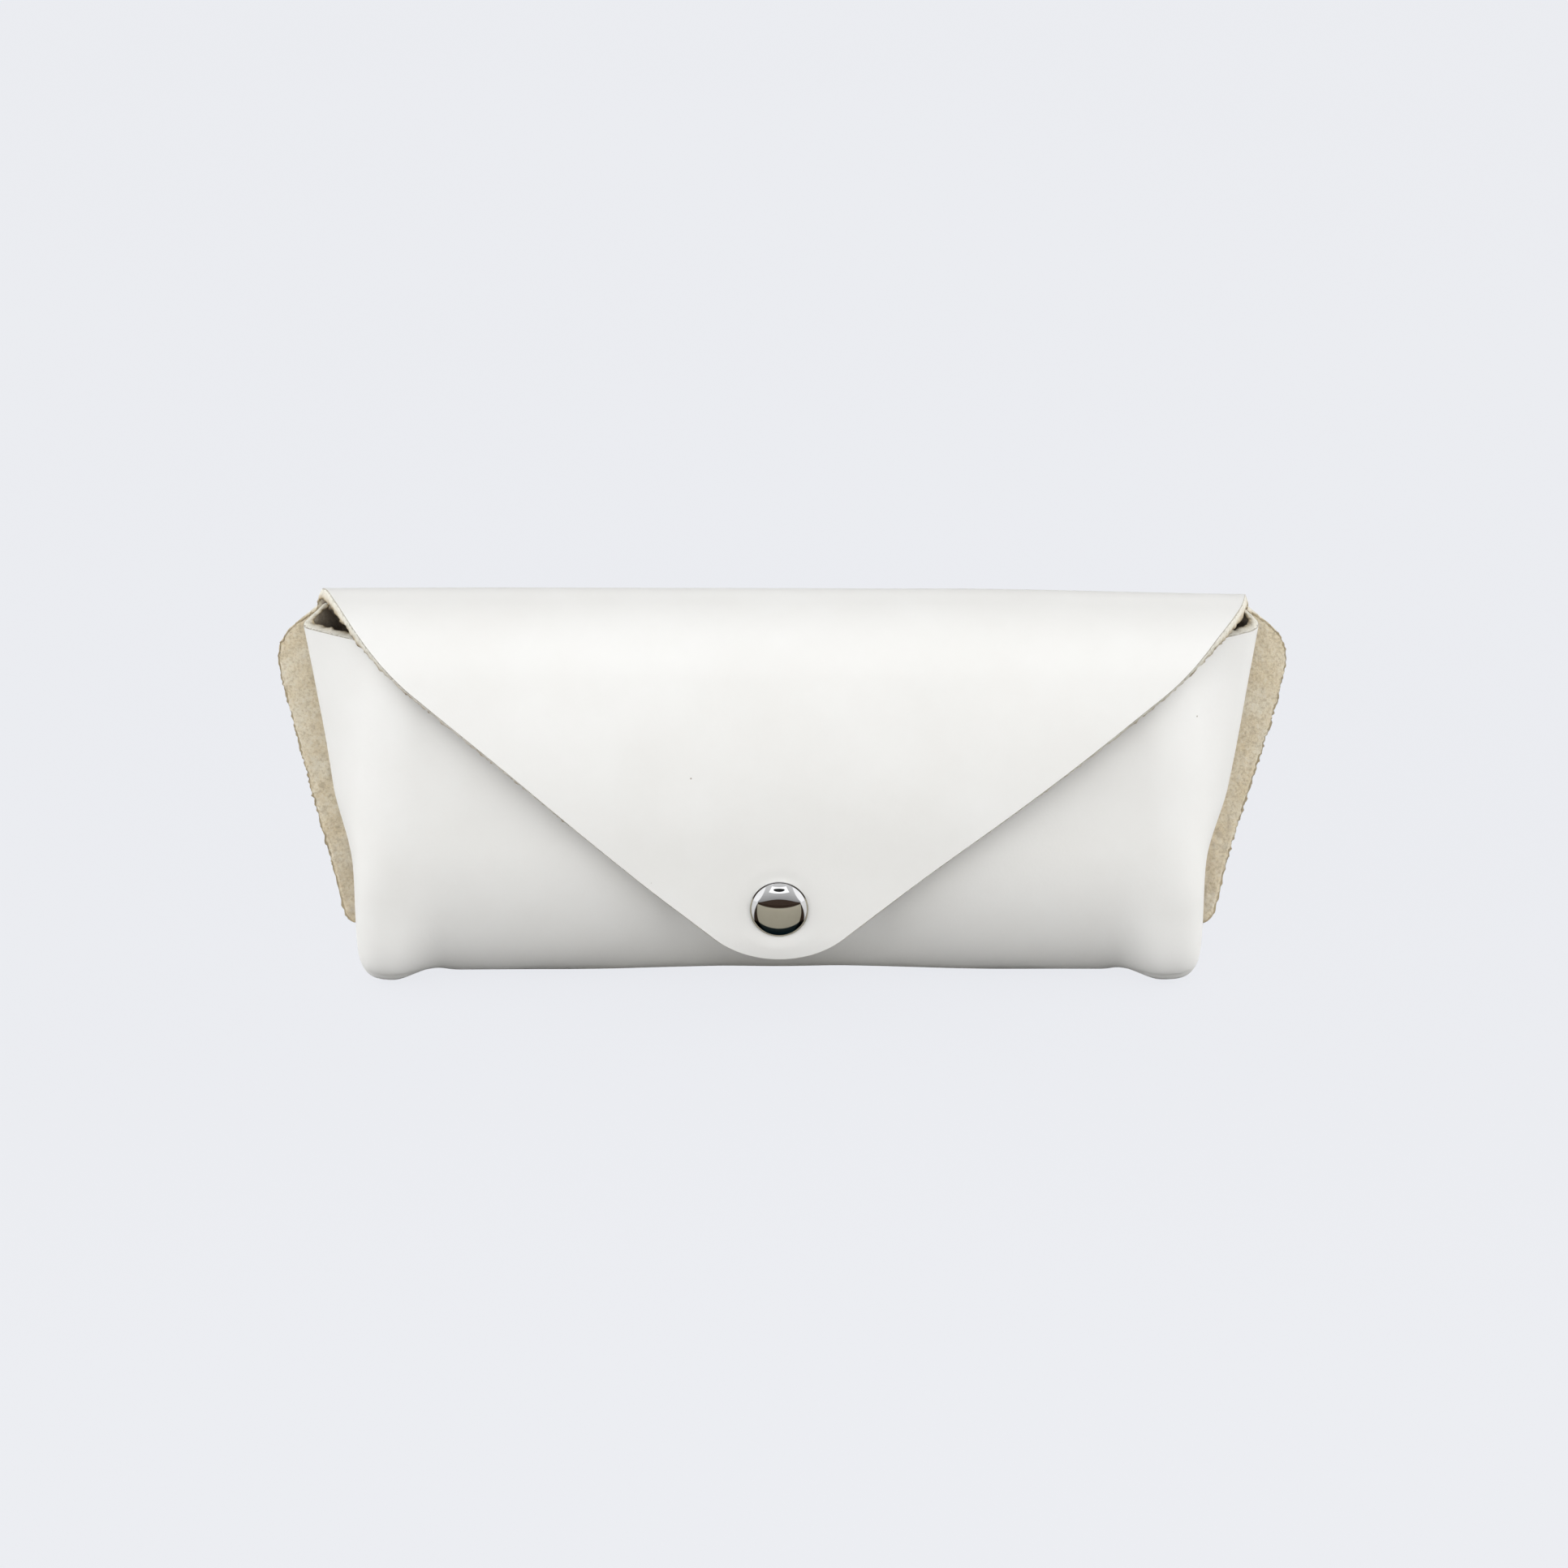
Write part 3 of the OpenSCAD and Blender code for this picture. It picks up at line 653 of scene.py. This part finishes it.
def build_pouch():
    """Back, roll, front and ears as one piece."""
    levels = steps(0, 1, 0.6 / (MOUTH_Z - ROLL_Z), 0.07, 0.006)
    roll_phi = np.linspace(math.pi, 0, ROLL_ROWS)
    back_s = SHEET_ROWS[SHEET_ROWS < ROW_STEP * 1.5]
    sheet = Sheet()
    plain_patches(sheet, ROLL_Z + levels * (MOUTH_Z - ROLL_Z), roll_phi, back_s)
    for side in (-1, 1):
        ear_patch(sheet, levels, side)
        corner_patch(sheet, roll_phi, side)
        wing_patches(sheet, back_s, side)
    pouch = sheet.mesh("pouch_leather")
    dress_leather(pouch)
    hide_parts("back_panel", "bottom_wrap", "front_panel", "left_ear", "right_ear")
    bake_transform(pouch)


# ---- fold and flap ----

STRIPS = 6                                    # narrow strips of the CAD's fold


def across_columns():
    """Places of the columns across the sheet from -1 to 1, closer together beside the edges."""
    inner = np.linspace(0, 0.95, 72)
    outer = np.linspace(0.95, 1, 12)[1:]
    half = np.concatenate([inner, outer])
    return np.concatenate([-half[:0:-1], half])


def flap_grid(s):
    """Points of the sheet's rows at lengths s, from one edge to the other."""
    across = across_columns()
    grid = np.zeros((len(s), len(across), 3))
    grid[..., 0] = sheet_half(s)[:, None] * across
    grid[..., 1:] = flap_profile(s)[:, None]
    return grid


def strip(first, last):
    """The sheet between two of its rows, with one more row on each side to steer the normals."""
    before = 1
    after = min(1, len(SHEET_ROWS) - 1 - last)
    sheet = Sheet(loose=True)
    sheet.patch(flap_grid(SHEET_ROWS[first - before:last + 1 + after]), True, before, after)
    return sheet


def build_fold():
    """One piece for each hinge of the fold.

    Returns the row at which the flap starts.
    """
    rows = [int(np.argmin(np.abs(SHEET_ROWS - cut))) for cut in FOLD_CUTS]
    for k, (first, last) in enumerate(zip(rows, rows[1:])):
        piece = strip(first, last).mesh(f"fold_leather_{k + 1}")
        dress_leather(piece)
        if k < STRIPS:
            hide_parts(f"fold_strip_{k + 1}")
        ends = flap_profile(SHEET_ROWS[[first, last]]) * MM
        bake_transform(piece)
    return rows[-1]


def build_flap(first):
    """The sheet from its row first to the tip."""
    flap = strip(first, len(SHEET_ROWS) - 1).mesh("flap_leather")
    dress_leather(flap)
    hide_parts("flap_panel")
    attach(flap, "flap")


# ---- snap and rivets ----

def lathe(name, profile, centre, facing=-1, segments=128):
    """A turned metal part from (radius, height) pairs. Its axis runs along Y, the way facing says."""
    profile = np.array(profile, float)
    angle = np.linspace(0, 2 * math.pi, segments, endpoint=False)
    points = np.zeros((len(profile), segments, 3))
    points[..., 0] = profile[:, :1] * np.cos(angle) + centre[0]
    points[..., 1] = centre[1] + facing * profile[:, 1:]
    points[..., 2] = profile[:, :1] * np.sin(angle) + centre[2]
    index = np.arange(len(profile) * segments).reshape(len(profile), segments)
    turned = np.roll(index, -1, axis=1)
    faces = np.stack([index[:-1], turned[:-1], turned[1:], index[1:]], axis=-1).reshape(-1, 4)
    if facing > 0:
        faces = faces[:, ::-1]
    points, faces, _ = weld(points.reshape(-1, 3), faces)
    part = make_object(name, points, faces)
    part.data.materials.append(chrome)
    return part


def arc_points(centre, radius, start, end, count):
    """Points of an arc between two angles in degrees."""
    angle = np.radians(np.linspace(start, end, count))
    return [(centre[0] + radius * math.cos(a), centre[1] + radius * math.sin(a)) for a in angle]


def dome_profile(radius, height, lip, skirt):
    """A pressed dome with a rolled rim, whose skirt goes into the leather."""
    rise = height - lip
    dome_r = ((radius - lip) ** 2 + rise ** 2) / (2 * rise)
    half_angle = math.degrees(math.asin((radius - lip) / dome_r))
    profile = [(0, -skirt), (radius - lip, -skirt)]
    profile += arc_points((radius - lip, lip), lip, -90, 90 - half_angle, 14)
    profile += arc_points((0, height - dome_r), dome_r, 90 - half_angle + 1, 90, 40)
    return profile


def build_snap():
    """The cap on the flap."""
    profile = dome_profile(CAP_R, FLAP_Y - cap_low[1], 0.14, 0.3)
    cap = lathe("snap_dome", profile, (0, FLAP_Y, SNAP_Z))
    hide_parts("snap_cap")
    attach(cap, "flap")


def build_rivets():
    """The domes of the ears' rivets on the back."""
    profile = dome_profile(RIVET_R, rivet_high[1] - BACK_Y, 0.12, 0.25)
    for side, name in ((-1, "left"), (1, "right")):
        centre = (side * RIVET_X, BACK_Y, RIVET_Z)
        dome = lathe(f"rivet_dome_{name}", profile, centre, facing=1, segments=96)
        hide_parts("ear_rivet_caps")
        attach(dome, "pouch")


def dress_metal():
    """Gives the chrome to the metal parts that keep their CAD shape."""
    for node in ("snap_socket", "snap_spring", "snap_stud", "snap_post", "ear_rivet_posts"):
        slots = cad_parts[node].data.materials
        slots.clear()
        slots.append(chrome)


# ---- materials ----

FAR = 99.0                                    # beyond every place and every direction



class Nodes:
    """A short way to write the nodes of a material or a world."""

    def __init__(self, owner):
        owner.use_nodes = True
        self.owner = owner
        self.tree = owner.node_tree

    def link(self, value, socket):
        """Feeds a socket from another node or with a plain value."""
        if isinstance(value, bpy.types.NodeSocket):
            self.tree.links.new(value, socket)
        else:
            socket.default_value = value

    def add(self, kind, inputs=None, **settings):
        node = self.tree.nodes.new("ShaderNode" + kind)
        for key, value in settings.items():
            setattr(node, key, value)
        for key, value in (inputs or {}).items():
            self.link(value, node.inputs[key])
        return node

    def rest(self):
        """Place on the object as it was modelled."""
        return self.add("TexCoord").outputs["Object"]

    def ray(self, kind):
        """1 for rays of that kind, else 0."""
        return self.add("LightPath").outputs[f"Is {kind} Ray"]

    def split(self, vector):
        return self.add("SeparateXYZ", {"Vector": vector}).outputs

    def noise(self, size_mm, detail=3.0, roughness=0.55, vector=None):
        """Noise from 0 to 1 with lumps of about size_mm."""
        inputs = {"Scale": 1 / (size_mm * MM), "Detail": detail, "Roughness": roughness,
                  "Vector": vector or self.rest()}
        return self.add("TexNoise", inputs).outputs["Fac"]

    def cells(self, size_mm):
        """Distance to the nearest of points scattered about size_mm apart, in units of size_mm."""
        inputs = {"Scale": 1 / (size_mm * MM), "Vector": self.rest()}
        return self.add("TexVoronoi", inputs).outputs["Distance"]

    def math(self, operation, *values):
        node = self.add("Math", operation=operation)
        for value, socket in zip(values, node.inputs):
            self.link(value, socket)
        return node.outputs[0]

    def between(self, value, low, high, soft):
        """1 where value lies between low and high, with soft borders."""
        rise = self.add("MapRange", {"Value": value, "From Min": low - soft, "From Max": low + soft})
        fall = self.add("MapRange", {"Value": value, "From Min": high + soft, "From Max": high - soft})
        return self.math("MULTIPLY", rise.outputs[0], fall.outputs[0])

    def ramp(self, value, stops):
        """Colours or greys at places along value."""
        node = self.add("ValToRGB", {"Fac": value})
        band = node.color_ramp
        while len(band.elements) < len(stops):
            band.elements.new(0.5)
        for element, (place, colour) in zip(band.elements, stops):
            element.position = place
            element.color = (*colour, 1) if isinstance(colour, tuple) else (colour, colour, colour, 1)
        return node.outputs["Color"]

    def mix(self, share, a, b):
        """Colour a where share is 0, b where it is 1."""
        node = self.add("Mix", data_type="RGBA")
        self.link(share, node.inputs["Factor"])
        self.link((*a, 1) if isinstance(a, tuple) else a, node.inputs["A"])
        self.link((*b, 1) if isinstance(b, tuple) else b, node.inputs["B"])
        return node.outputs["Result"]

    def bump(self, height, strength, depth_mm, normal=None):
        inputs = {"Height": height, "Strength": strength, "Distance": depth_mm * MM}
        if normal is not None:
            inputs["Normal"] = normal
        return self.add("Bump", inputs).outputs["Normal"]

    def finish(self, **inputs):
        """Fills in the Principled shader's inputs. Returns the material."""
        shader = self.tree.nodes["Principled BSDF"]
        for key, value in inputs.items():
            self.link(value, shader.inputs[key.replace("_", " ")])
        return self.owner


def new_material(name):
    return Nodes(bpy.data.materials.new(name))


def grain_material():
    """Smooth off-white finish with a fine grain, faint clouds and a few dark specks."""
    n = new_material("leather_grain")
    cloud = n.noise(20, 4)
    colour = n.ramp(cloud, [(0.3, (0.868, 0.862, 0.838)), (0.7, (0.905, 0.903, 0.885))])
    speck = n.cells(9)
    colour = n.mix(n.ramp(speck, [(0.012, 1.0), (0.02, 0.0)]), colour, (0.42, 0.38, 0.33))
    pore = n.cells(0.55)
    grain = n.noise(0.35, 4)
    crease = n.noise(2.2, 5, 0.6)
    height = n.math("ADD", n.math("MULTIPLY", grain, 0.5), n.math("MULTIPLY", pore, 0.35))
    normal = n.bump(crease, 0.2, 0.12, n.bump(height, 0.25, 0.06))
    rough = n.ramp(crease, [(0.3, 0.44), (0.7, 0.56)])
    return n.finish(Base_Color=colour, Roughness=rough, Normal=normal, Specular_IOR_Level=0.35)


def suede_material():
    """Raw tan flesh side: short nap in small tufts, mottled and matt, with painted shade deep inside the
    pouch.
    """
    n = new_material("leather_flesh")
    patch = n.noise(5, 4, 0.6)
    tuft = n.noise(0.55, 4, 0.7)
    nap = n.noise(0.3, 4, 0.7)
    colour = n.ramp(patch, [
        (0.3, (0.81, 0.69, 0.48)),
        (0.5, (0.86, 0.76, 0.57)),
        (0.72, (0.91, 0.85, 0.7)),
    ])
    colour = n.mix(n.ramp(tuft, [(0.38, 0.5), (0.5, 0.0)]), colour, (0.5, 0.4, 0.25))
    colour = n.mix(n.ramp(tuft, [(0.52, 0.0), (0.64, 0.5)]), colour, (0.92, 0.87, 0.76))
    # Painted shade: deep inside the pouch, where ambient occlusion finds little open air, the suede's
    # colour turns dark brown
    open_air = n.add("AmbientOcclusion", {"Distance": 30 * MM}, samples=6).outputs["AO"]
    colour = n.mix(n.ramp(open_air, [(0.15, 0.0), (0.55, 1.0)]), (0.13, 0.075, 0.035), colour)
    normal = n.bump(nap, 0.6, 0.25, n.bump(tuft, 0.6, 0.35))
    return n.finish(Base_Color=colour, Roughness=0.95, Normal=normal, Specular_IOR_Level=0.1,
                    Sheen_Weight=0.35, Sheen_Roughness=0.6)


def edge_material():
    """Raw cut edge: a thin grey line of painted shade under the finish, then cream fibres, brown at the
    flesh side.

    The meshes' depth attribute runs from 0 at the grain to 1 at the flesh side.
    """
    n = new_material("leather_edge")
    depth = n.add("Attribute", attribute_name="depth").outputs["Fac"]
    fibre = n.noise(0.5, 5, 0.7)
    wander = n.math("MULTIPLY_ADD", n.math("SUBTRACT", fibre, 0.5), 0.5, depth)
    # The grey near depth 0.05 is painted shade, standing for a slight groove under the finish
    colour = n.ramp(wander, [
        (0.0, (0.6, 0.57, 0.5)),
        (0.05, (0.42, 0.38, 0.32)),
        (0.12, (0.9, 0.88, 0.8)),
        (0.5, (0.86, 0.82, 0.71)),
        (0.85, (0.5, 0.41, 0.27)),
    ])
    colour = n.mix(n.ramp(fibre, [(0.3, 0.6), (0.5, 0.0)]), colour, (0.55, 0.49, 0.38))
    normal = n.bump(fibre, 0.8, 0.3)
    return n.finish(Base_Color=colour, Roughness=0.9, Normal=normal, Specular_IOR_Level=0.15)


def chrome_material():
    """Bright plated steel with a few smears, and a painted dark reflection on the lower rim of each dome.
    """
    n = new_material("snap_chrome")
    smear = n.noise(3, 3)
    rough = n.ramp(smear, [(0.35, 0.015), (0.75, 0.06)])
    colour = n.ramp(smear, [(0.3, (0.76, 0.76, 0.77)), (0.7, (0.82, 0.82, 0.83))])
    # Painted reflection: the lower rim of a dome is coloured dark blue-black, as if it mirrored only the
    # deep shade under it
    x, _, z = n.split(n.add("NewGeometry").outputs["Normal"])
    tilt = n.math("MULTIPLY_ADD", n.math("MULTIPLY", x, x), 0.45, n.math("MULTIPLY", z, z))
    under = n.math("MULTIPLY", n.between(tilt, 0.18, FAR, 0.008), n.between(z, -FAR, -0.27, 0.02))
    colour = n.mix(under, colour, (0.03, 0.045, 0.06))
    normal = n.bump(n.noise(0.8, 2), 0.015, 0.02)
    # The painted dark reflection also dims the mirror's tint on the lower rim
    tint = n.mix(under, (1.0, 1.0, 1.0), (0.02, 0.03, 0.04))
    return n.finish(Base_Color=colour, Metallic=1.0, Roughness=rough, Normal=normal, Specular_Tint=tint)


SHADOW_FREE = 0.93                            # share of the paper's brightness that no shadow can reach
BOUNCE = (0.07, 0.066, 0.058)                 # colour of the light that comes up from the table
RUNNER_HALF = 0.009                           # half-width of the pale strip on the table, in metres
RUNNER_END = 0.14                             # and its far end
ASIDE = 0.021                                 # where the white areas beside it start
SPREAD = 1.6                                  # how fast all of these widen away from the snap


def floor_material():
    """Pale paper for the camera, dark for bounced light.

    Reflections see a dark table with a pale strip in front of the snap and white areas beside it.
    """
    n = new_material("floor_paper")
    tone = n.noise(400, 2)
    paper = n.ramp(tone, [(0.3, (0.836, 0.848, 0.884)), (0.7, (0.842, 0.854, 0.89))])
    x, y, _ = n.split(n.rest())
    off_snap = n.math("ABSOLUTE", n.math("SUBTRACT", y, FLAP_Y * MM))
    aside = n.math("MULTIPLY_ADD", off_snap, -SPREAD, n.math("ABSOLUTE", x))
    near = n.between(off_snap, -FAR, RUNNER_END, 0.02)
    runner = n.math("MULTIPLY", n.between(aside, -FAR, RUNNER_HALF, 0.001), near)
    table = n.mix(runner, (0.04, 0.026, 0.018), (0.44, 0.41, 0.32))
    table = n.mix(n.between(aside, ASIDE, FAR, 0.002), table, (0.9, 0.9, 0.9))
    colour = n.mix(n.ray("Glossy"), n.mix(n.ray("Camera"), BOUNCE, paper), table)
    share = n.math("MULTIPLY", n.ray("Camera"), SHADOW_FREE)
    lit = n.mix(share, colour, (0, 0, 0))
    return n.finish(Base_Color=lit, Roughness=0.9, Specular_IOR_Level=0.0, Emission_Color=paper,
                    Emission_Strength=share)


leather = [grain_material(), suede_material(), edge_material()]
chrome = chrome_material()


def dress_leather(obj):
    """Gives a sheet its grain, flesh and edge."""
    for material in leather:
        obj.data.materials.append(material)


# ---- studio ----

SIDE_LIGHT = 4.4                              # brightness of the light tent at its sides
FRONT_LIGHT = 2.04                            # and before and behind the case
TOP_DARK = 0.88                               # how much darker the tent is straight above
CAMERA_DISTANCE = 0.75
CAMERA_ELEVATION = math.radians(20)


def build_floor():
    """A large flat floor at height 0."""
    half = 4000.0
    points = np.array([[-half, -half, 0], [half, -half, 0], [half, half, 0], [-half, half, 0]])
    floor = make_object("floor", points, np.array([[0, 1, 2, 3]]))
    floor.data.materials.append(floor_material())


def build_world():
    """A white light tent, brightest at the sides.

    Reflections see a grey room that is dark near the table, with a window and a lamp above and a soft box
    on each side. The camera sees the paper's colour.
    """
    world = bpy.data.worlds.new("studio")
    n = Nodes(world)
    direction = n.add("TexCoord").outputs["Generated"]
    x, y, z = n.split(direction)
    sides = n.math("MULTIPLY", n.math("MULTIPLY", x, x), SIDE_LIGHT)
    tent = n.math("MULTIPLY_ADD", n.math("MULTIPLY", y, y), FRONT_LIGHT, sides)
    tent = n.math("MULTIPLY", tent, n.math("MULTIPLY_ADD", z, -TOP_DARK, 1.0))

    above_table = n.math("MULTIPLY_ADD", n.math("MULTIPLY", x, x), 0.4, n.math("SUBTRACT", z, 0.27))
    room = n.ramp(above_table, [
        (0.0, (0.05, 0.034, 0.025)),
        (0.02, 0.32),
        (0.2, 0.46),
        (0.4, 0.62),
        (0.8, 0.8),
    ])
    slant = n.math("MULTIPLY_ADD", z, 0.65, n.math("ABSOLUTE", x))
    window = n.math("MULTIPLY", n.between(z, 0.53, 0.76, 0.008), n.between(slant, 0.0, 0.81, 0.008))
    lamp_z = n.math("DIVIDE", n.math("SUBTRACT", z, 0.65), 0.06)
    lamp_x = n.math("DIVIDE", x, 0.26)
    from_lamp = n.math("ADD", n.math("MULTIPLY", lamp_z, lamp_z), n.math("MULTIPLY", lamp_x, lamp_x))
    lamp = n.between(from_lamp, -1.0, 1.0, 0.05)
    side_box = n.between(n.math("MULTIPLY_ADD", z, 0.45, n.math("ABSOLUTE", x)), 0.87, FAR, 0.01)
    room = n.mix(window, room, (1.3, 1.3, 1.3))
    room = n.mix(lamp, room, (0.03, 0.03, 0.03))
    room = n.mix(side_box, room, (1.1, 1.1, 1.1))

    colour = n.mix(n.ray("Glossy"), n.mix(n.ray("Camera"), tent, (0.83, 0.84, 0.87)), room)
    background = world.node_tree.nodes["Background"]
    n.link(colour, background.inputs["Color"])
    bpy.context.scene.world = world


def build_softbox():
    """A near light in front of the case and above it: the top gets more of it than the foot."""
    light = bpy.data.lights.new("softbox", "AREA")
    light.shape = "RECTANGLE"
    light.size = 0.5
    light.size_y = 0.12
    light.energy = 0.17
    softbox = bpy.data.objects.new("softbox", light)
    softbox.location = (0, -0.25, 0.2)
    softbox.rotation_euler = (Vector((0, 0, 0.03)) - softbox.location).to_track_quat("-Z", "Y").to_euler()
    softbox.visible_glossy = False
    softbox.visible_camera = False
    bpy.context.scene.collection.objects.link(softbox)


def build_camera():
    """The camera in front of the case, looking down at it a little."""
    target = Vector((0.83, 2.09, 35)) * MM
    away = Vector((0, -math.cos(CAMERA_ELEVATION), math.sin(CAMERA_ELEVATION)))
    camera = bpy.data.objects.new("camera", bpy.data.cameras.new("camera"))
    camera.data.lens = 100
    camera.data.sensor_width = 36
    camera.location = target + CAMERA_DISTANCE * away
    camera.rotation_euler = (-away).to_track_quat("-Z", "Y").to_euler()
    bpy.context.scene.collection.objects.link(camera)
    bpy.context.scene.camera = camera
    bpy.context.scene.view_settings.view_transform = "Standard"


build_pouch()
build_flap(build_fold())
build_snap()
build_rivets()
dress_metal()
build_floor()
build_world()
build_softbox()
build_camera()
